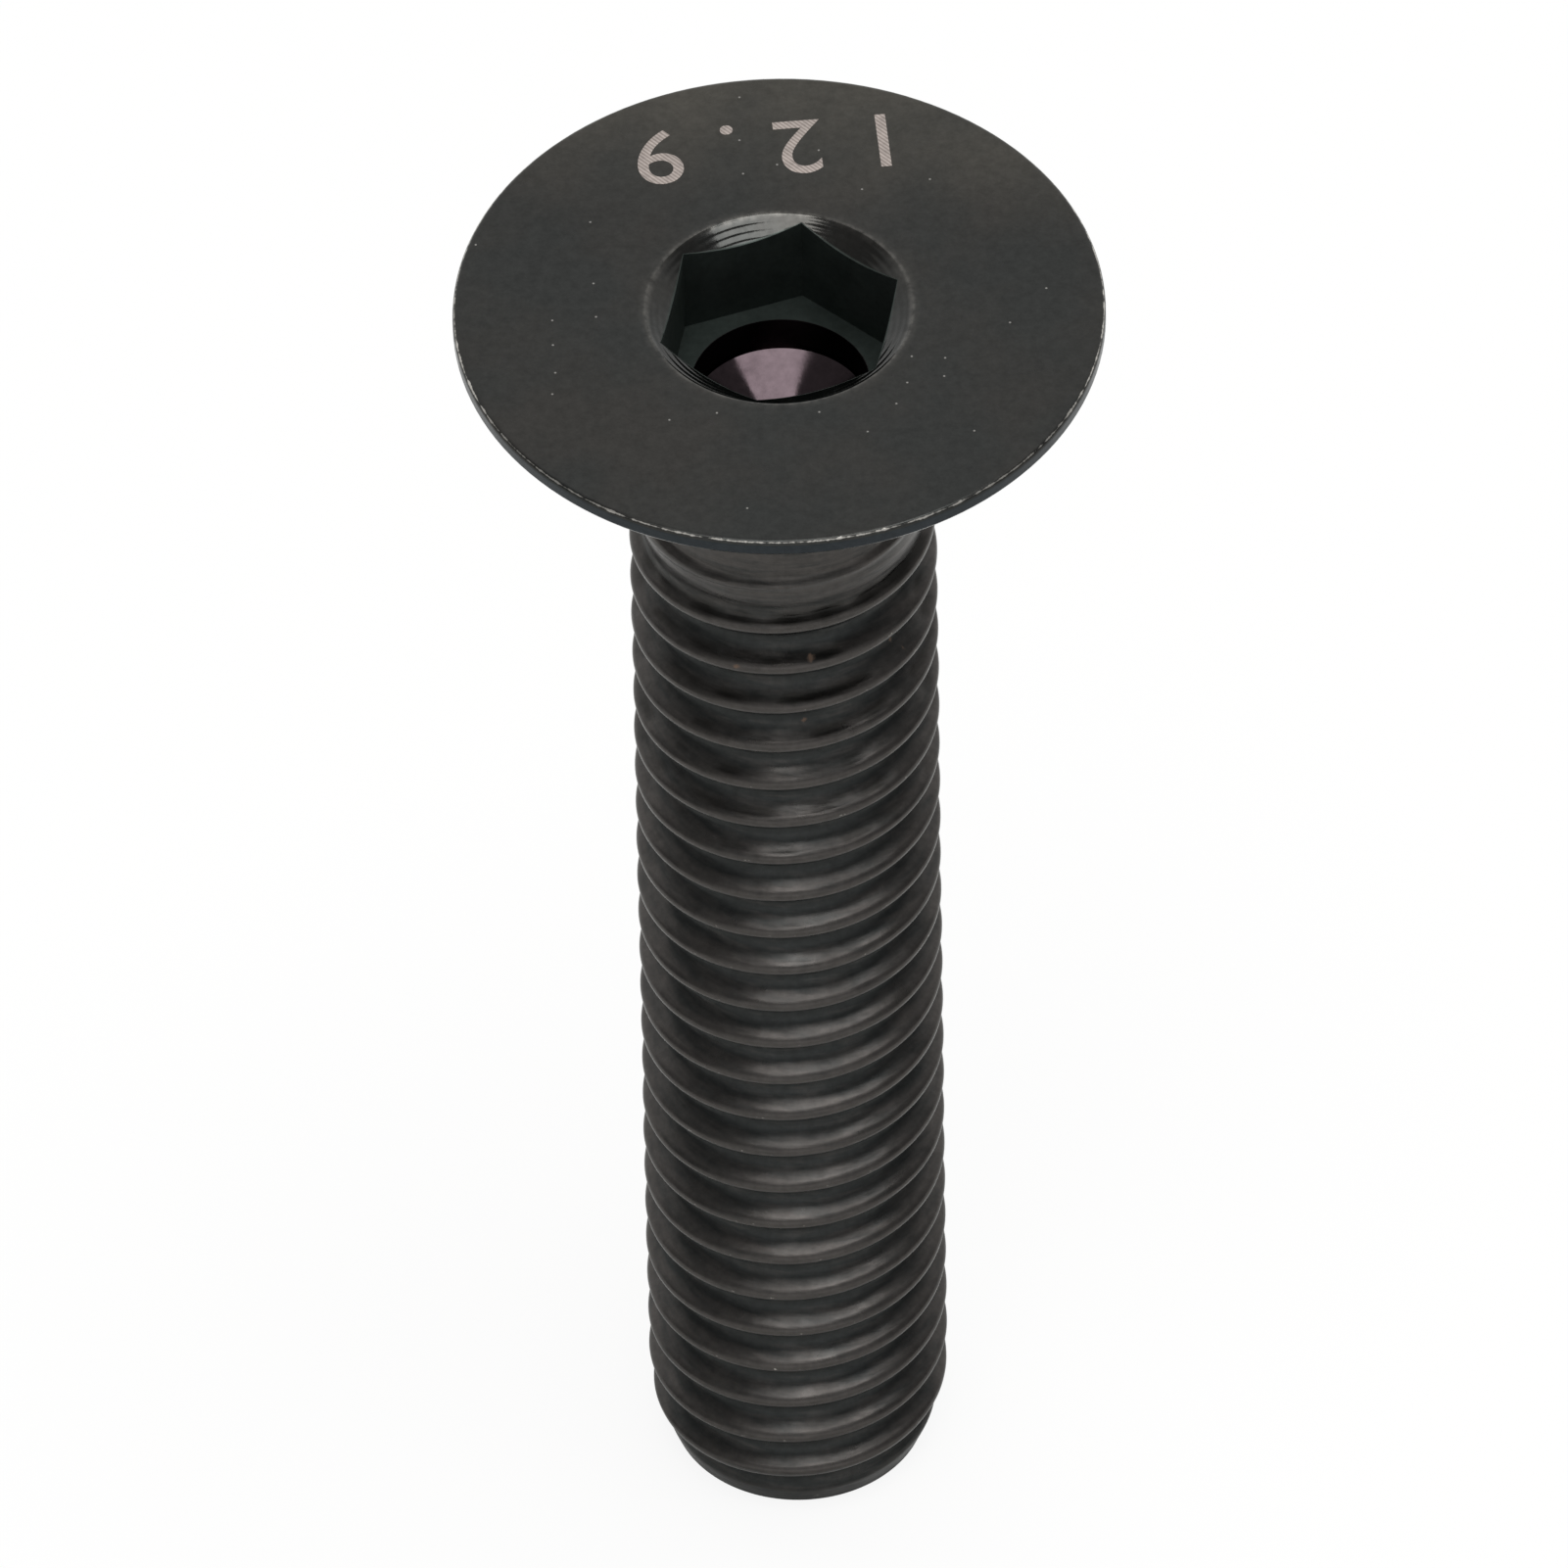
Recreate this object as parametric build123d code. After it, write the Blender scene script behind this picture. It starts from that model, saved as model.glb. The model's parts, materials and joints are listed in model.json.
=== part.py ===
from build123d import *
import os
from math import radians, tan

# A stem cap bolt: a countersunk socket-head cap screw, M6 x 1 x 30, in black-oxided steel.
# It is forged, turned and thread-rolled from one blank, so it is one solid.
# The shank is modelled at the thread's crest diameter, which is what a clearance hole has to pass.
# The origin is the centre of the flat end of the thread, and +Z runs along the axis to the head.
# All sizes are in millimetres and degrees.

# Head
bolt_length = 30.0  # flat end to head top, as a countersunk screw is measured
head_d = 12.0  # across the rim
rim_h = 0.25  # cylindrical land between the head top and the cone
rim_edge_r = 0.10  # rounding of the rim's upper edge
cone_angle = 90.0  # included angle of the countersink cone
neck_r = 0.30  # fillet where the cone meets the neck

# Shank
thread_d = 5.70  # across the thread's crests, which the rolling left a little short of full
neck_d = 5.25  # the blank's own diameter, left bare under the head
neck_h = 0.50  # from the cone down to the thread's run-out
run_out_h = 1.20  # over which the rolled crests rise to their full diameter
end_d = 4.84  # flat end
end_taper_h = 1.10  # tapered lead-in behind the flat end
end_shoulder_r = 3.0  # rounding where the lead-in meets the full diameter

# Hex socket
hex_af = 4.0  # across the flats
hex_depth = 2.0
hex_turn = 19.0  # from +X to the first corner
mouth_d = 4.93  # outer circle of the countersunk mouth
mouth_angle = 120.0
pilot_d = 3.3  # hole drilled before the hex is broached
pilot_depth = 2.75  # from the head top to the shoulder of the drill point
drill_angle = 118.0

cone_top = bolt_length - rim_h
neck_z = cone_top - (head_d - neck_d) / 2 / tan(radians(cone_angle / 2))
run_out_z = neck_z - neck_h


def turned(outline, corner_radii):
    """Revolve a closed outline of (radius, height) points, each with its own corner radius."""
    points = [(radius, 0, height) for radius, height in outline]
    return revolve(make_face(FilletPolyline(*points, radius=corner_radii, close=True)), Axis.Z)


def blank():
    """The turned and rolled blank, from the flat end up to the head top."""
    outline = [
        (0, 0),
        (end_d / 2, 0),
        (thread_d / 2, end_taper_h),
        (thread_d / 2, run_out_z - run_out_h),
        (neck_d / 2, run_out_z),
        (neck_d / 2, neck_z),
        (head_d / 2, cone_top),
        (head_d / 2, bolt_length),
        (0, bolt_length),
    ]
    return turned(outline, [0, 0, end_shoulder_r, 0, 0, neck_r, 0, rim_edge_r, 0])


def countersunk_mouth():
    """The shallow cone that opens the hex, cut from just above the head top."""
    above = 1.0
    slope = tan(radians(mouth_angle / 2))
    top = Plane.XY.offset(bolt_length + above)
    cone = Cone(
        0,
        mouth_d / 2 + above * slope,
        mouth_d / 2 / slope + above,
        align=(Align.CENTER, Align.CENTER, Align.MAX),
    )
    return top * cone


def broached_hex():
    """The hex itself, down to its floor."""
    floor = Plane.XY.offset(bolt_length - hex_depth)
    hexagon = RegularPolygon(hex_af / 2, 6, major_radius=False, rotation=hex_turn)
    return extrude(floor * hexagon, amount=2 * hex_depth)


def pilot_hole():
    """The drilled hole below the hex, with its drill point."""
    shoulder = bolt_length - pilot_depth
    point_h = pilot_d / 2 / tan(radians(drill_angle / 2))
    drill = [(0, shoulder - point_h), (pilot_d / 2, shoulder)]
    drill += [(pilot_d / 2, bolt_length), (0, bolt_length)]
    return revolve(make_face(Polyline(*[(r, 0, z) for r, z in drill], close=True)), Axis.Z)


bolt = blank() - countersunk_mouth() - broached_hex() - pilot_hole()
bolt.label = "bolt"

os.makedirs("parts", exist_ok=True)
export_step(bolt, "parts/bolt.step")
print("bolt", len(bolt.solids()), "solid", len(bolt.faces()), "faces", round(bolt.volume, 2), "mm3")
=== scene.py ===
import json
from math import cos, pi, radians, sin, sqrt, tan

import bmesh
import bpy
import numpy as np
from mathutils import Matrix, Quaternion, Vector


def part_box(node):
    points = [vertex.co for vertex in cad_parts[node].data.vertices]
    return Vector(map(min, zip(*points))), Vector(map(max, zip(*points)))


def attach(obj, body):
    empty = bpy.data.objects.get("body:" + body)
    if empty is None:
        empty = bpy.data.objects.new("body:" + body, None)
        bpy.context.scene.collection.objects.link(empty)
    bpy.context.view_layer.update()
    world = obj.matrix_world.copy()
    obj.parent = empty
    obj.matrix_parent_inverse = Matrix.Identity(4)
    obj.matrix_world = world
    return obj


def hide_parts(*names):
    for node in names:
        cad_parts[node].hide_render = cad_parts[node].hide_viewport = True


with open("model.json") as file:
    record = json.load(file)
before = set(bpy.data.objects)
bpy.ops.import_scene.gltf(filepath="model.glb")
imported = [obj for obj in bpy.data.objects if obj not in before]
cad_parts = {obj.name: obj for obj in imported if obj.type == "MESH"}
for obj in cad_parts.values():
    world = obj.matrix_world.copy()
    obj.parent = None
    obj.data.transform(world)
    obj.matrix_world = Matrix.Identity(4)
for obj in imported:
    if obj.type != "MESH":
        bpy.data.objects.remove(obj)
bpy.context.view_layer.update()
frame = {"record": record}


# ---------------------------------------------------------------------------
# Camera
# A long lens, well back from the bolt and looking down on its head by 46
# degrees, so that the shank tapers only slightly towards its end.
# ---------------------------------------------------------------------------

MM = 0.001

bolt_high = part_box("bolt")[1]
bolt_top = bolt_high.z / MM

camera_distance = 521.6
camera_elevation = radians(45.52)
camera_roll = radians(-1.06)
aim_across = -0.071
aim_height = 17.30
sensor_width = 36.0
lens_length = 652.205

camera_data = bpy.data.cameras.new("camera")
camera_data.sensor_width = sensor_width
camera_data.lens = lens_length
camera_data.clip_start = 0.05
camera_data.clip_end = 20.0
camera = bpy.data.objects.new("camera", camera_data)
bpy.context.scene.collection.objects.link(camera)
bpy.context.scene.camera = camera

eye = Vector((0, -cos(camera_elevation), sin(camera_elevation))) * camera_distance
eye.z += bolt_top
aim = Vector((aim_across, 0, aim_height))
turn = (aim - eye).to_track_quat("-Z", "Y") @ Quaternion((0, 0, 1), camera_roll)
camera.location = eye * MM
camera.rotation_mode = "QUATERNION"
camera.rotation_quaternion = turn


# ---------------------------------------------------------------------------
# The bolt
# One piece of steel: the head is cold-forged with a countersink cone and a
# broached hex, the thread is rolled on, and the whole is black-oxided and
# oiled. The rolled thread fades out below a bare neck under the head.
# ---------------------------------------------------------------------------

mounts = {mount["name"]: mount["dims"] for mount in frame["record"]["mounts"]}
head_r = bolt_high.x / MM
crest_r = mounts["thread"]["r_mm"]
hex_apothem = mounts["hex_socket"]["r_mm"]
hex_depth = mounts["hex_socket"]["length_mm"]

columns = 138  # a multiple of 6, so that each corner of the hex has its own column
first_column = radians(19.0)  # from +X to the first corner of the hex

pitch = 1.0
flank_slope = sqrt(3)  # fall in radius per mm of height on a 30 degree flank
crest_round_r = 0.14  # the dies left the crests unfilled, and so round
root_round_r = 0.31
crest_apex_r = crest_r + crest_round_r  # where a crest's two flanks would meet
root_r = crest_apex_r - pitch / 2 * flank_slope + root_round_r
crest_phase = 0.43  # height of a crest's middle at +X, within the first pitch
stretch_from = 17.5  # above this height the rolled turns lie further and further apart
stretch = 0.42
crest_wobble = 0.006
crest_wobble_half = 0.2
crest_waves = (0.71, 2.9)  # waves per radian along the helix, slow ones and fast ones
seam_above = 0.17  # height of the seam above the crest's middle, where the rolled lips met
seam_half = 0.05
seam_depth = 0.045
seam_waves = (1.3, 6.1)
seam_grows = (15, 21)  # heights between which more and more of the seam is open
last_turn = (24.15, 24.45)  # heights over which the seam opens into the last turn's deep one
last_turn_waves = (2.1, 9.0)
seam_ends = (25.1, 25.5)

end_r = 2.42
end_slope = 0.39
end_softness = 0.11
end_edge_r = 0.06
neck_r = 2.625
neck_foot = 26.2
shelf_r = 2.72  # radius of the blank above the last groove, up to the neck
crests_sink = (24.3, 26.1)  # heights between which the crests come down to the blank's radius
roots_fill = (23.8, 25.3)  # and the roots come up to it
shelf_top = 25.72
shelf_tilt = 0.27  # the step down to the neck lies this much lower at shelf_low, higher opposite
shelf_low = radians(-125)
shelf_step = 0.08  # half the height over which the step comes down
shelf_ragged = 0.012
thread_start = (-0.2, 1.0)  # heights between which the grooves deepen above the flat end

mark_proud = 0.004  # how far the etched mark stands above the head's top
face_z = bolt_top - mark_proud
rim_h = 0.31
rim_edge_r = 0.10
edge_row = 0.03  # from a rounded edge to the next row of vertices, so that the flats shade flat
neck_fillet_r = 0.30
mouth_r = 2.465
mouth_edge_r = 0.08
mouth_slope = tan(radians(30.0))
pilot_r = 1.65
pilot_depth = 2.75
drill_slope = tan(radians(31.0))
drill_tip_z = bolt_top - pilot_depth - pilot_r * drill_slope


def smooth_step(low_edge, high_edge, value):
    """0 below the low edge, 1 above the high edge, and 3t^2 - 2t^3 between them."""
    t = np.clip((value - low_edge) / (high_edge - low_edge), 0, 1)
    return t * t * (3 - 2 * t)


def bell(distance, half_width):
    """1 at no distance, falling off on both sides as e to the power -(distance / half width)^2."""
    return np.exp(-((distance / half_width) ** 2))


def soft_min(a, b, softness):
    """The smaller of two values, rounded where they cross: half of a + b - sqrt((a-b)^2 + s^2)."""
    return 0.5 * (a + b - np.sqrt((a - b) ** 2 + softness**2))


def run_out(radius, height, angle):
    """The thread faded into the blank, and the blank into the neck.

    A crest or a root keeps its share of its distance from the blank's radius,
    which falls from 1 to 0 with height, for a root sooner than for a crest.
    The step to the neck is tilted by a cosine of the angle, and a little ragged.
    """
    crest_share = 1 - smooth_step(*crests_sink, height)
    root_share = 1 - smooth_step(*roots_fill, height)
    radius = shelf_r + (radius - shelf_r) * np.where(radius > shelf_r, crest_share, root_share)
    step_height = shelf_top - shelf_tilt * np.cos(angle - shelf_low)
    step_height += shelf_ragged * (np.sin(7 * angle) + np.sin(19 * angle + 1.0))
    off_shelf = smooth_step(step_height - shelf_step, step_height + shelf_step, height)
    return radius + (neck_r - radius) * off_shelf


def pushed_up(height):
    """How far the turns are pushed up: by the cube of the height's share of the way to the neck."""
    high_up = np.clip((height - stretch_from) / (neck_foot - stretch_from), 0, None)
    return stretch * high_up**3


def thread_place(height, angle):
    """Distance in mm above the nearest crest, and how far along the helix that crest's point is.

    Crests rise by one pitch a turn, and near the head they are pushed up as
    well, as the dies let go of the blank. The nearest crest is the whole number
    of turns nearest to the height above the first one, less the angle's share.
    """
    turns = (height - pushed_up(height) - crest_phase) / pitch - angle / (2 * pi)
    crest_number = np.round(turns)
    return (turns - crest_number) * pitch, 2 * pi * crest_number + angle


def patches(along, coarse, fine):
    """Uneven waves from about -1 to 1 along the helix: three sines with unrelated periods."""
    return (np.sin(coarse * along) + np.sin(fine * along + 1.7) + np.sin(2.37 * fine * along + 4.1)) / 3


def seam(height, along):
    """How far the seam is open, with 1 for its full depth.

    Patches of it are open, more and more towards the head. Nearly all of it is
    open on the last turn, where it goes over from the patches by a smooth step.
    """
    patchy = np.clip(0.35 + 1.5 * patches(along, *seam_waves), 0, 1)
    patchy = patchy * (0.2 + 0.8 * smooth_step(*seam_grows, height))
    whole = 0.85 + 0.6 * patches(along, *last_turn_waves)
    share = smooth_step(*last_turn, height)
    return (patchy + (whole - patchy) * share) * (1 - smooth_step(*seam_ends, height))


def thread_radius(height, angle):
    """Radius in mm of the threaded shank.

    A round crest and a round root, each an arc tangent to 60 degree flanks.
    A broken seam lies beside the crest. The thread fades into the blank under
    the head, and the lead-in cone cuts it back at the flat end.
    """
    offset, along = thread_place(height, angle)
    beyond_crest = np.abs(offset)
    from_root = pitch / 2 - beyond_crest
    crest = crest_r - crest_round_r + np.sqrt(np.clip(crest_round_r**2 - beyond_crest**2, 0, None))
    root = root_r + root_round_r - np.sqrt(np.clip(root_round_r**2 - from_root**2, 0, None))
    full = crest_apex_r - beyond_crest * flank_slope
    full = np.where(beyond_crest < crest_round_r * cos(radians(30)), crest, full)
    full = np.where(from_root < root_round_r * cos(radians(30)), root, full)
    full += crest_wobble * patches(along, *crest_waves) * bell(beyond_crest, crest_wobble_half)
    full = crest_r - (crest_r - full) * smooth_step(*thread_start, height)
    radius = run_out(full, height, angle)
    radius = radius - seam_depth * seam(height, along) * bell(offset - seam_above, seam_half)
    return soft_min(radius, end_r + end_slope * height, end_softness)


def thread_rows(height_top):
    """Heights in mm of the surface's rows at the first column, closest where the profile bends."""
    above = [0.0, 0.025, 0.05, 0.08, 0.11, 0.14, 0.17, 0.20, 0.24, 0.29, 0.35, 0.42, 0.50]
    below = [-0.035, -0.075, -0.12, -0.17, -0.235, -0.29, -0.35, -0.42]
    pattern = np.array(below[::-1] + above) * pitch
    start = crest_phase + pitch * first_column / (2 * pi)
    turns = np.arange(-2, int(height_top / pitch) + 2) * pitch
    return (start + turns[:, None] + pattern[None, :]).ravel()


column_angles = first_column + 2 * pi * np.arange(columns) / columns


def around(radius, angle, height):
    """Points at radius times the angle's cosine, radius times its sine, and height."""
    radius, angle, height = np.broadcast_arrays(radius, angle, height)
    return np.stack([radius * np.cos(angle), radius * np.sin(angle), height], -1)


def hex_radius(angle):
    """Distance from the axis to the hex: apothem over the cosine of the angle from a flat's middle."""
    return hex_apothem / np.cos((angle - first_column) % (pi / 3) - pi / 6)


def mouth_height(radius):
    """Height of the mouth's cone, which falls by its slope from the edge of the face inwards."""
    return face_z - (mouth_r - radius) * mouth_slope


def grid_quads(numbers):
    """Quads between neighbouring rows and columns of a grid of vertex numbers."""
    corners = [numbers[:-1, :-1], numbers[:-1, 1:], numbers[1:, 1:], numbers[1:, :-1]]
    return np.stack(corners, -1).reshape(-1, 4)


def arc(centre_r, centre_z, radius, start, stop, count):
    """Radii and heights of points on a circular arc, with angles in degrees from outward."""
    angle = np.radians(np.linspace(start, stop, count))
    return zip(centre_r + radius * np.cos(angle), centre_z + radius * np.sin(angle))


def shank_grid(height_bottom, height_top):
    """The threaded shank: rows follow the helix, so each column starts a little higher."""
    rows = thread_rows(height_top)[:, None]
    share = np.arange(columns + 1)[None, :] / columns
    height = rows + pitch * share
    height = np.clip(height + pushed_up(height), height_bottom, height_top)
    angle = first_column + 2 * pi * share
    return around(thread_radius(height, angle), angle, height)


def head_rings(height_bottom):
    """Rings at the radii and heights of the head's profile, from the neck out and back to the axis.

    They go up the neck and the cone, round the rim, in over the face, and down
    the mouth, the hex and the drilled hole. They lie close together beside an
    edge and further apart between edges. Only the hex's rings aren't round.
    """
    hex_r = hex_radius(column_angles)
    cone_top = bolt_top - rim_h
    cone_foot = cone_top - (head_r - neck_r)
    fillet_reach = neck_fillet_r * tan(radians(22.5))
    outline = [(thread_radius(height_bottom, column_angles), height_bottom)]
    outline += arc(neck_r + neck_fillet_r, cone_foot - fillet_reach, neck_fillet_r, 180, 135, 7)
    cone_radii = np.linspace(3.2, head_r - 0.04, 12)
    outline += [(radius, cone_top - (head_r - radius)) for radius in cone_radii]
    outline += [(head_r, cone_top + 0.02), (head_r, cone_top + 0.06)]
    outline += [(head_r, face_z - rim_edge_r - edge_row)]
    outline += arc(head_r - rim_edge_r, face_z - rim_edge_r, rim_edge_r, 0, 90, 7)
    outline += [(head_r - rim_edge_r - edge_row, face_z)]
    outline += [(radius, face_z) for radius in np.linspace(head_r - 0.25, mouth_r + 0.15, 10)]
    outline += [(mouth_r + 0.05, face_z)]
    mouth_reach = mouth_edge_r * tan(radians(15))
    outline += arc(mouth_r + mouth_reach, face_z - mouth_edge_r, mouth_edge_r, 90, 120, 5)
    edge_z = mouth_height(hex_r)
    for share in (0.25, 0.6, 0.9, 1.0):
        outline += [(mouth_r + (hex_r - mouth_r) * share, face_z + (edge_z - face_z) * share)]
    floor_z = bolt_top - hex_depth
    for share in (0.02, 0.2, 0.5, 0.8, 0.98, 1.0):
        outline += [(hex_r, edge_z + (floor_z - edge_z) * share)]
    for share in (0.03, 0.5, 0.97, 1.0):
        outline += [(hex_r + (pilot_r - hex_r) * share, floor_z)]
    shoulder_z = bolt_top - pilot_depth
    outline += [(pilot_r, height) for height in np.linspace(floor_z - 0.02, shoulder_z, 5)]
    drill_radii = np.linspace(pilot_r - edge_row, 0, 12)
    outline += [(radius, shoulder_z - (pilot_r - radius) * drill_slope) for radius in drill_radii]
    return np.array([around(radius, column_angles, height) for radius, height in outline])


def add_piece(name, points, faces, merge_distance=1e-4):
    """A mesh object from points in mm, with its doubles merged and its faces turned outwards."""
    mesh = bpy.data.meshes.new(name)
    mesh.from_pydata(points * MM, [], faces)
    shape = bmesh.new()
    shape.from_mesh(mesh)
    bmesh.ops.remove_doubles(shape, verts=shape.verts, dist=merge_distance * MM)
    bmesh.ops.dissolve_degenerate(shape, edges=shape.edges, dist=merge_distance * MM)
    bmesh.ops.recalc_face_normals(shape, faces=shape.faces)
    shape.to_mesh(mesh)
    shape.free()
    mesh.shade_smooth()
    mesh.set_sharp_from_angle(angle=radians(32))
    piece = bpy.data.objects.new(name, mesh)
    bpy.context.scene.collection.objects.link(piece)
    return piece


shank = shank_grid(end_edge_r, neck_foot)
head = head_rings(neck_foot)
end_edge = thread_radius(end_edge_r, column_angles)
end_outline = [((end_edge - end_edge_r) * share, 0.0) for share in (0.0, 0.3, 0.6, 0.85, 0.96)]
for turned in (0, 30, 60, 90):
    inset = end_edge_r * (1 - sin(radians(turned)))
    end_outline += [(end_edge - inset, end_edge_r * (1 - cos(radians(turned))))]
end_rings = np.array([around(radius, column_angles, height) for radius, height in end_outline])

points = np.concatenate([end_rings.reshape(-1, 3), shank.reshape(-1, 3), head.reshape(-1, 3)])
faces = []
start = 0
for rings in (end_rings, shank, head):
    rows, across = rings.shape[:2]
    numbers = start + np.arange(rows * across).reshape(rows, across)
    if across == columns:
        numbers = np.concatenate([numbers, numbers[:, :1]], axis=1)
    faces.append(grid_quads(numbers))
    start += rows * across
bolt = add_piece("stem_cap_bolt", points, np.concatenate(faces).tolist())


# How strongly tools, rubbing, the oil film, dust and rust mark each place, and where the painted shade,
# light, sheen, highlight and reflection go, is stored on the vertices.
edge_slack = 0.003  # so that the vertices on an edge count with the surface inside it
face_slack = 0.01
end_face_r = 1.9  # the flat end was sheared, and not rolled, inside this radius
rim_rub = 1.15
rim_rub_inset = 0.03
rim_rub_half = 0.04
crest_rub = 0.75
crest_rub_half = 0.09
mouth_highlight_half = 0.045
blank_shading_level = 0.75  # how light the painted shading leaves the unthreaded blank, between the roots' 0 and the crests' 1
tones_meet = (24.6, 25.7)
pit_half = 0.065
last_pit_half = 0.12
dust_everywhere = 0.12
dust_by_mouth = 0.5
dust_ring_r = 2.9
dust_ring_half = 0.6
dustiest = radians(-40)
oil_and_sheen_spreads = (1.8, 6.2)  # the oil film and its painted sheen grow between these distances to the rear
oil_and_sheen_skew = 0.1  # and a little further to the right
rust_half = 0.065
rust_spots = [  # angle in degrees, height in mm, half length in degrees, and climb in mm per degree
    (-41, 22.9, 8, -0.061),
    (-80, 23.5, 2.5, 0.0),
    (-83, 21.6, 2, 0.0),
    (-109, 23.3, 2, 0.0),
    (60, 20.3, 6, 0.003),
    (150, 12.2, 5, 0.003),
]

surface = bolt.data
spots = np.empty(3 * len(surface.vertices))
surface.vertices.foreach_get("co", spots)
across, deep, height = (spots.reshape(-1, 3) / MM).T
radius = np.hypot(across, deep)
angle = np.arctan2(deep, across) % (2 * pi)
crest_offset, along = thread_place(height, angle)
hex_r = hex_radius(angle)
hex_edge_z = mouth_height(hex_r)

on_shank = (height < neck_foot) & (radius > end_face_r)
on_face = height > face_z - face_slack
in_head = height > drill_tip_z - edge_slack
in_hole = in_head & (radius < pilot_r + edge_slack) & (height < bolt_top - hex_depth)
in_hex = in_head & (radius < hex_r + edge_slack) & (height < hex_edge_z + edge_slack) & ~in_hole
in_mouth = in_head & (radius < mouth_r) & (height > hex_edge_z + edge_slack) & ~on_face
on_drill_point = in_hole & (height < bolt_top - pilot_depth + edge_slack)
# the rim's side, which gets a painted dark reflection
on_rim_band = (radius > head_r - edge_slack) & (height < face_z - rim_edge_r)

rim_gap = np.hypot(radius - head_r + rim_rub_inset, height - face_z + rim_rub_inset)
rubbed = rim_rub * bell(rim_gap, rim_rub_half)
crests_left = on_shank * (1 - smooth_step(*crests_sink, height))
rubbed += crest_rub * crests_left * bell(crest_offset, crest_rub_half)
# how far up the flank each place lies, which sets the painted shade in the roots and the painted light on
# the crests
rise = np.clip((radius - root_r) / (crest_r - root_r), 0, 1)
rise += (blank_shading_level - rise) * smooth_step(*tones_meet, height)
open_half = pit_half + (last_pit_half - pit_half) * smooth_step(*last_turn, height)
dusty = 0.6 + 0.4 * np.cos(angle - dustiest)
dusty = dust_everywhere + dust_by_mouth * bell(radius - dust_ring_r, dust_ring_half) * dusty
rusty = np.zeros(len(height))
for spot_angle, spot_height, half_length, climb in rust_spots:
    turned = (np.degrees(angle) - spot_angle + 180) % 360 - 180
    lift = height - spot_height - climb * turned
    rusty += on_shank * bell(turned, half_length) * bell(lift, rust_half)
marks = {
    "rubbed_edge": rubbed,
    "mouth_edge": bell(np.hypot(radius - mouth_r, height - face_z), mouth_highlight_half),
    "rim_band": on_rim_band * 1.0,
    "crest_height": np.where(on_shank, rise, 0.5),
    "rolled": on_shank * 1.0,
    "broached": in_hex * 1.0,
    "drilled": in_hole * 1.0,
    "cut": (in_mouth | on_drill_point) * 1.0,
    "turned_mouth": in_mouth * 1.0,
    # where the painted shade in the open seams falls
    "pitted": on_shank * seam(height, along) * bell(crest_offset - seam_above, open_half),
    "dusty": on_face * dusty,
    "oil_film": on_face * smooth_step(*oil_and_sheen_spreads, deep + oil_and_sheen_skew * across),
    "rusty": rusty,
}
for name, amount in marks.items():
    surface.attributes.new(name, "FLOAT", "POINT").data.foreach_set("value", amount)


def linear(hex_colour):
    """sRGB hex to linear: c / 12.92 up to 0.04045, and ((c + 0.055) / 1.055)^2.4 above."""
    channels = [int(hex_colour[i : i + 2], 16) / 255 for i in (1, 3, 5)]
    return [c / 12.92 if c <= 0.04045 else ((c + 0.055) / 1.055) ** 2.4 for c in channels] + [1.0]


def add_node(owner, kind, settings=None, links=None):
    """Add a shader node: settings go to attributes or sockets, links come from sockets or nodes."""
    node = owner.node_tree.nodes.new("ShaderNode" + kind)
    for name, value in (settings or {}).items():
        if isinstance(name, str) and hasattr(node, name):
            setattr(node, name, value)
        else:
            node.inputs[name].default_value = value
    for name, source in (links or {}).items():
        owner.node_tree.links.new(getattr(source, "outputs", [source])[0], node.inputs[name])
    return node


def new_material(name):
    """A material with an empty node tree."""
    material = bpy.data.materials.new(name)
    material.use_nodes = True
    material.node_tree.nodes.clear()
    return material


# Black oxide is a thin, dark, slightly glossy layer of magnetite on the steel, which shows as a
# deep grey metal with soft highlights. Its tint drifts from blue-grey to brown, and it is rubbed
# through to bare, bright steel along the rim's edge and the crests.
cloud_width = 2.2  # mm, as are the other widths, lengths and heights of patterns
grain_width = 0.17
fleck_width = 0.18
rust_grain = 0.125
sheen_width = 0.75
dust_spacing = 0.7
dust_reach = (0.020, 0.036)  # radii of a speck's full colour and of its edge, in dust_spacing
streak_length = 0.9  # drawn coarser than the real rolling lines, which are too fine to show
streak_height = 0.11
pit_grains_per_streak = 2.2
turning_spacing = 0.12  # between the turning rings, drawn coarser than the real feed
wave_scale = pi / 10  # a Wave texture of scale 1 repeats after this length
streak_contrast = 1.6  # how much the streaks' noise adds to the height up the flank
fleck_contrast = 1.3  # and the flecks' noise to the rubbing
shank_shading_share = 0.8  # how much of the shank's painted shade and light replaces the head's tint
grey_oxide = "#343534"
brown_oxide = "#383735"
# painted shade in the thread's roots and painted light on its crests
painted_root_shade = "#2c2e2e"
painted_crest_light = "#484543"
# a mottled oil film with a painted sheen, lighter towards the rear of the face
oily_sheen_oxide = "#4b4944"
# painted dark reflection on the rim's side
painted_rim_reflection = "#2c3033"
broached_oxide = "#3f4643"
drilled_oxide = "#3b3336"
# painted shade in the open seams
painted_seam_shade = "#242321"
bare_steel = "#b5b2ac"
# painted highlight on the mouth's edge
painted_mouth_highlight = "#6e6c68"
rust_brown = "#665040"
dust_grey = "#7f7d79"

black_oxide = new_material("black_oxide_on_rolled_steel")
marked = {
    name: add_node(black_oxide, "Attribute", {"attribute_name": name}).outputs["Fac"] for name in marks
}
object_place = add_node(black_oxide, "TexCoord").outputs["Object"]
in_mm = add_node(
    black_oxide, "VectorMath", {"operation": "MULTIPLY", 1: (1 / MM, 1 / MM, 1 / MM)}, {0: object_place}
)
drawn_out = add_node(
    black_oxide,
    "VectorMath",
    {"operation": "MULTIPLY", 1: (1 / streak_length, 1 / streak_length, 1 / streak_height)},
    {0: in_mm},
)

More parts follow.
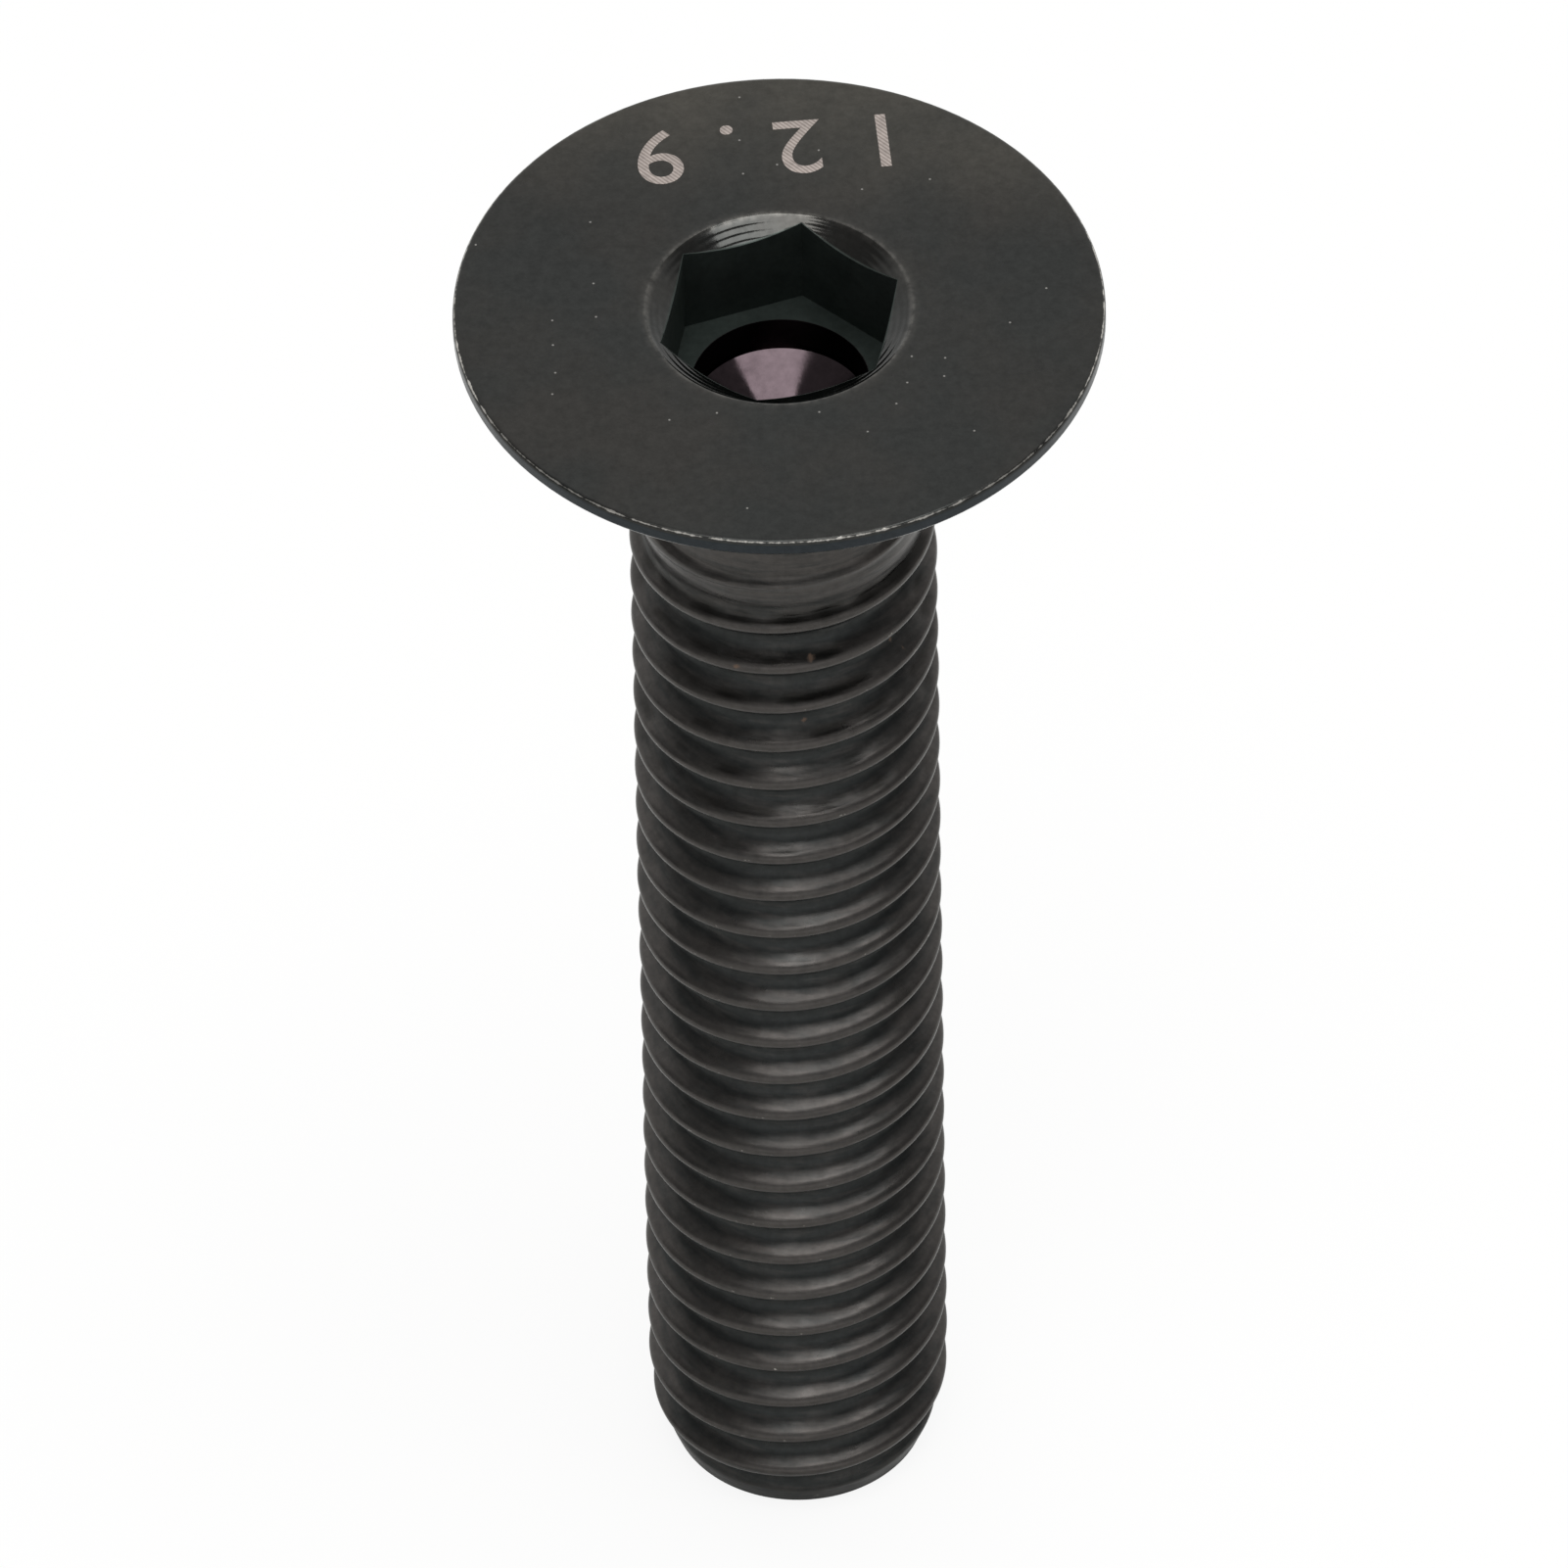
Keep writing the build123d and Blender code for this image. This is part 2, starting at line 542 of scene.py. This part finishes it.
# Each kind of noise: where it is read, its patches per unit there, its detail, and how rough that is.
noise_kinds = {
    "cloud": (in_mm, 1 / cloud_width, 3.0, 0.5),
    "grain": (in_mm, 1 / grain_width, 3.0, 0.7),
    "flecks": (in_mm, 1 / fleck_width, 3.0, 0.65),
    "rust": (in_mm, 1 / rust_grain, 3.0, 0.7),
    "sheen": (in_mm, 1 / sheen_width, 2.0, 0.5),
    "streaks": (drawn_out, 1.0, 2.0, 0.6),
    "pits": (drawn_out, pit_grains_per_streak, 3.0, 0.7),
}
noise = {
    name: add_node(
        black_oxide,
        "TexNoise",
        {"Scale": scale, "Detail": detail, "Roughness": fineness},
        {"Vector": place},
    )
    for name, (place, scale, detail, fineness) in noise_kinds.items()
}
most_of_noise = {"From Min": 0.3, "From Max": 0.7}  # noise seldom leaves this range
middle_of_noise = {"From Min": 0.35, "From Max": 0.65}

# The oxide itself, clouded on the head. On the shank, painted shade darkens the thread's roots and
# painted light brightens its crests, with the streaks that the rolling dies drew round the flanks.
brown_share = add_node(black_oxide, "MapRange", middle_of_noise, {"Value": noise["cloud"]})
oxide = add_node(
    black_oxide,
    "Mix",
    {"data_type": "RGBA", 6: linear(grey_oxide), 7: linear(brown_oxide)},
    {0: brown_share},
).outputs[2]
streaked_height = add_node(
    black_oxide,
    "Math",
    {"operation": "MULTIPLY_ADD", 1: streak_contrast},
    {0: noise["streaks"], 2: marked["crest_height"]},
)
up_the_flank = add_node(
    black_oxide, "MapRange", {"From Min": 0.9, "From Max": 1.7}, {"Value": streaked_height}
)
shank_shade_and_light = add_node(
    black_oxide,
    "Mix",
    {"data_type": "RGBA", 6: linear(painted_root_shade), 7: linear(painted_crest_light)},
    {0: up_the_flank},
).outputs[2]
mostly_rolled = add_node(
    black_oxide, "Math", {"operation": "MULTIPLY", 1: shank_shading_share}, {0: marked["rolled"]}
)
oxide = add_node(
    black_oxide, "Mix", {"data_type": "RGBA"}, {0: mostly_rolled, 6: oxide, 7: shank_shade_and_light}
).outputs[2]
# the oil film's mottle, on the painted sheen over the rear of the face
film_thickness = add_node(
    black_oxide,
    "MapRange",
    middle_of_noise | {"To Min": 0.5, "To Max": 1.0},
    {"Value": noise["cloud"]},
)
film = add_node(
    black_oxide, "Math", {"operation": "MULTIPLY"}, {0: marked["oil_film"], 1: film_thickness}
)
oxide_finishes = [
    (film, oily_sheen_oxide),
    (marked["rim_band"], painted_rim_reflection),
    (marked["broached"], broached_oxide),
    (marked["drilled"], drilled_oxide),
]
for share, tint in oxide_finishes:
    oxide = add_node(
        black_oxide, "Mix", {"data_type": "RGBA", 7: linear(tint)}, {0: share, 6: oxide}
    ).outputs[2]
grain_value = add_node(
    black_oxide,
    "MapRange",
    most_of_noise | {"To Min": 0.86, "To Max": 1.14},
    {"Value": noise["grain"]},
)
oxide = add_node(black_oxide, "HueSaturation", links={"Color": oxide, "Value": grain_value})

# What lies on or under the oxide: painted shade in the open seams, bare steel where it is rubbed through,
# a painted highlight on the mouth's edge, specks of rust and dust.
seam_shade_amount = add_node(black_oxide, "Math", {"operation": "ADD"}, {0: marked["pitted"], 1: noise["pits"]})
seam_shade_share = add_node(
    black_oxide, "MapRange", {"From Min": 0.75, "From Max": 1.4, "To Max": 0.62}, {"Value": seam_shade_amount}
)
rub = add_node(
    black_oxide,
    "Math",
    {"operation": "MULTIPLY_ADD", 1: fleck_contrast},
    {0: noise["flecks"], 2: marked["rubbed_edge"]},
)
bare = add_node(black_oxide, "MapRange", {"From Min": 1.58, "From Max": 1.80}, {"Value": rub})
# patches of the painted highlight on the mouth's edge
mouth_highlight_patches = add_node(
    black_oxide,
    "MapRange",
    middle_of_noise | {"To Min": 0.05, "To Max": 0.5},
    {"Value": noise["flecks"]},
)
mouth_highlight = add_node(
    black_oxide, "Math", {"operation": "MULTIPLY"}, {0: marked["mouth_edge"], 1: mouth_highlight_patches}
)
rust_bits = add_node(black_oxide, "Math", {"operation": "ADD"}, {0: marked["rusty"], 1: noise["rust"]})
rust = add_node(
    black_oxide, "MapRange", {"From Min": 1.0, "From Max": 1.35, "To Max": 0.8}, {"Value": rust_bits}
)
dust_cells = add_node(
    black_oxide, "TexVoronoi", {"voronoi_dimensions": "2D", "Scale": 1 / dust_spacing}, {"Vector": in_mm}
)
dust_spot = add_node(
    black_oxide,
    "MapRange",
    {"From Min": dust_reach[0], "From Max": dust_reach[1], "To Min": 1.0, "To Max": 0.0},
    {"Value": dust_cells},
)
dust_draw = add_node(black_oxide, "SeparateXYZ", links={0: dust_cells.outputs["Color"]})
dust_here = add_node(
    black_oxide, "Math", {"operation": "LESS_THAN"}, {0: dust_draw, 1: marked["dusty"]}
)
dust = add_node(black_oxide, "Math", {"operation": "MULTIPLY"}, {0: dust_spot, 1: dust_here})
colour = oxide
for share, tint in [
    (seam_shade_share, painted_seam_shade),
    (bare, bare_steel),
    (mouth_highlight, painted_mouth_highlight),
    (rust, rust_brown),
    (dust, dust_grey),
]:
    colour = add_node(
        black_oxide, "Mix", {"data_type": "RGBA", 7: linear(tint)}, {0: share, 6: colour}
    ).outputs[2]

# Oiled oxide is fairly smooth. A drill and a turning tool leave it smoother, a broach rougher.
roughness = add_node(
    black_oxide,
    "MapRange",
    most_of_noise | {"To Min": 0.26, "To Max": 0.38},
    {"Value": noise["sheen"]},
)
loose = add_node(black_oxide, "Math", {"operation": "MAXIMUM"}, {0: dust, 1: rust})
for share, rougher in [(marked["cut"], -0.20), (marked["broached"], 0.28), (loose, 0.5)]:
    roughness = add_node(
        black_oxide, "Math", {"operation": "MULTIPLY_ADD", 1: rougher}, {0: share, 2: roughness}
    )
metallic = add_node(black_oxide, "Math", {"operation": "SUBTRACT", 0: 1.0}, {1: loose})

rolling_lines = add_node(
    black_oxide, "Math", {"operation": "MULTIPLY"}, {0: noise["streaks"], 1: marked["rolled"]}
)
turning = add_node(
    black_oxide,
    "TexWave",
    {"wave_type": "RINGS", "rings_direction": "Z", "Scale": wave_scale / turning_spacing},
    {"Vector": in_mm},
)
turning_lines = add_node(
    black_oxide, "Math", {"operation": "MULTIPLY"}, {0: turning.outputs["Fac"], 1: marked["turned_mouth"]}
)
normal = None
for relief, depth in [(rolling_lines, 0.007), (turning_lines, 0.003), (noise["grain"], 0.001)]:
    links = {"Height": relief, "Normal": normal} if normal else {"Height": relief}
    normal = add_node(black_oxide, "Bump", {"Strength": 1.0, "Distance": depth * MM}, links)
steel = add_node(
    black_oxide,
    "BsdfPrincipled",
    links={"Base Color": colour, "Metallic": metallic, "Roughness": roughness, "Normal": normal},
)
add_node(black_oxide, "OutputMaterial", links={"Surface": steel})
bolt.data.materials.append(black_oxide)

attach(bolt, "root")
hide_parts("bolt")


# ---------------------------------------------------------------------------
# Strength mark
# Plain digits on the head's top, burned into the black oxide by a laser that
# crossed each stroke in close lines. They read from behind the bolt.
# ---------------------------------------------------------------------------

mark_height = 1.45
mark_centre = (-0.25, 4.10)
mark_turn = radians(180 + 4.7)
letter_spacing = 1.58
em_per_digit_height = 1.37

lettering = bpy.data.curves.new("strength_mark_outline", "FONT")
lettering.body = "12.9"
lettering.size = mark_height * em_per_digit_height * MM
lettering.space_character = letter_spacing
lettering.extrude = mark_proud / 2 * MM
lettering_object = bpy.data.objects.new("strength_mark_outline", lettering)
bpy.context.scene.collection.objects.link(lettering_object)
bpy.context.view_layer.update()
mark_mesh = bpy.data.meshes.new_from_object(lettering_object)
mark_mesh.name = "strength_mark"
bpy.data.objects.remove(lettering_object)

digits = np.empty(3 * len(mark_mesh.vertices))
mark_mesh.vertices.foreach_get("co", digits)
digits = digits.reshape(-1, 3) / MM
digits[:, :2] -= (digits[:, :2].min(axis=0) + digits[:, :2].max(axis=0)) / 2
sideways, upwards, proud = digits.T
x = mark_centre[0] + sideways * cos(mark_turn) - upwards * sin(mark_turn)
y = mark_centre[1] + sideways * sin(mark_turn) + upwards * cos(mark_turn)
z = face_z + (proud - proud.min())
mark_mesh.vertices.foreach_set("co", (np.stack([x, y, z], -1) * MM).ravel())
mark_mesh.update()
mark = bpy.data.objects.new("strength_mark", mark_mesh)
bpy.context.scene.collection.objects.link(mark)

# A laser burns the oxide to a pale, frosted grey in lines close together, which give no gloss.
laser_line_spacing = 0.048
burn_width = 0.14
burned_line = "#857b75"
between_lines = "#ada39d"

etched = new_material("laser_etched_black_oxide")
mark_place = add_node(etched, "TexCoord").outputs["Object"]
mark_mm = add_node(
    etched, "VectorMath", {"operation": "MULTIPLY", 1: (1 / MM, 1 / MM, 1 / MM)}, {0: mark_place}
)
laser_lines = add_node(
    etched,
    "TexWave",
    {"bands_direction": "DIAGONAL", "Scale": wave_scale / laser_line_spacing},
    {"Vector": mark_mm},
)
line_colour = add_node(
    etched,
    "Mix",
    {"data_type": "RGBA", 6: linear(burned_line), 7: linear(between_lines)},
    {0: laser_lines.outputs["Fac"]},
).outputs[2]
burn = add_node(
    etched,
    "TexNoise",
    {"Scale": 1 / burn_width, "Detail": 3.0, "Roughness": 0.6},
    {"Vector": mark_mm},
)
burn_value = add_node(
    etched,
    "MapRange",
    most_of_noise | {"To Min": 0.8, "To Max": 1.15},
    {"Value": burn},
)
etched_colour = add_node(etched, "HueSaturation", links={"Color": line_colour, "Value": burn_value})
frosted = add_node(
    etched, "BsdfPrincipled", {"Metallic": 0.4, "Roughness": 0.6}, {"Base Color": etched_colour}
)
add_node(etched, "OutputMaterial", links={"Surface": frosted})
mark_mesh.materials.append(etched)

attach(mark, "root")


# ---------------------------------------------------------------------------
# Floor
# A plain pale sheet under the bolt.
# ---------------------------------------------------------------------------

floor_half = 1500
floor_gap = 0.02
corners = floor_half * MM * np.array([(-1, -1), (1, -1), (1, 1), (-1, 1)])
floor_mesh = bpy.data.meshes.new("floor")
floor_mesh.from_pydata(np.column_stack([corners, np.full(4, -floor_gap * MM)]), [], [(0, 1, 2, 3)])
floor = bpy.data.objects.new("floor", floor_mesh)
bpy.context.scene.collection.objects.link(floor)

# Plain matt paper, which the camera sees nearly white, with the bolt's soft shadow on it.
white_share = 0.88
paper_white = "#f2f2f0"

paper = new_material("white_paper")
lit_paper = add_node(paper, "BsdfDiffuse", {"Color": linear(paper_white)})
plain_white = add_node(paper, "Emission", {"Color": linear("#ffffff"), "Strength": 1.0})
camera_sees = add_node(paper, "LightPath").outputs["Is Camera Ray"]
whitened = add_node(paper, "Math", {"operation": "MULTIPLY", 1: white_share}, {0: camera_sees})
paper_mix = add_node(paper, "MixShader", links={0: whitened, 1: lit_paper, 2: plain_white})
add_node(paper, "OutputMaterial", links={"Surface": paper_mix})
floor_mesh.materials.append(paper)


# ---------------------------------------------------------------------------
# Light
# A soft box overhead, a little to the front, in a pale room whose front and
# back are brighter than its sides.
# ---------------------------------------------------------------------------


def add_soft_box(name, place, target, width, depth, power):
    """A rectangular area light in mm that faces its target."""
    lamp = bpy.data.lights.new(name, "AREA")
    lamp.shape = "RECTANGLE"
    lamp.size = width * MM
    lamp.size_y = depth * MM
    lamp.energy = power
    box = bpy.data.objects.new(name, lamp)
    box.location = Vector(place) * MM
    box.rotation_mode = "QUATERNION"
    box.rotation_quaternion = (Vector(target) - Vector(place)).to_track_quat("-Z", "Y")
    bpy.context.scene.collection.objects.link(box)


add_soft_box("overhead", place=(55, -105, 640), target=(0, 0, 15), width=500, depth=270, power=2.2)

room_side = 0.35
room_front = 0.95
room_back = 0.75
world = bpy.data.worlds.new("room")
bpy.context.scene.world = world
world.use_nodes = True
world.node_tree.nodes.clear()
direction = add_node(world, "TexCoord").outputs["Generated"]
backward = add_node(world, "SeparateXYZ", links={"Vector": direction}).outputs["Y"]
front = add_node(
    world, "MapRange", {"From Min": -0.35, "From Max": -1.0, "To Max": room_front}, {"Value": backward}
)
back = add_node(
    world, "MapRange", {"From Min": 0.18, "From Max": 0.42, "To Max": room_back}, {"Value": backward}
)
ends = add_node(world, "Math", {"operation": "ADD"}, {0: front, 1: back})
lit_level = add_node(world, "Math", {"operation": "ADD", 1: room_side}, {0: ends})
camera_ray = add_node(world, "LightPath").outputs["Is Camera Ray"]
level = add_node(world, "Mix", {"B": 1.0}, {"Factor": camera_ray, "A": lit_level})
room = add_node(world, "Background", {"Color": linear("#ffffff")}, {"Strength": level})
add_node(world, "OutputWorld", links={"Surface": room})

bpy.context.scene.view_settings.view_transform = "Standard"
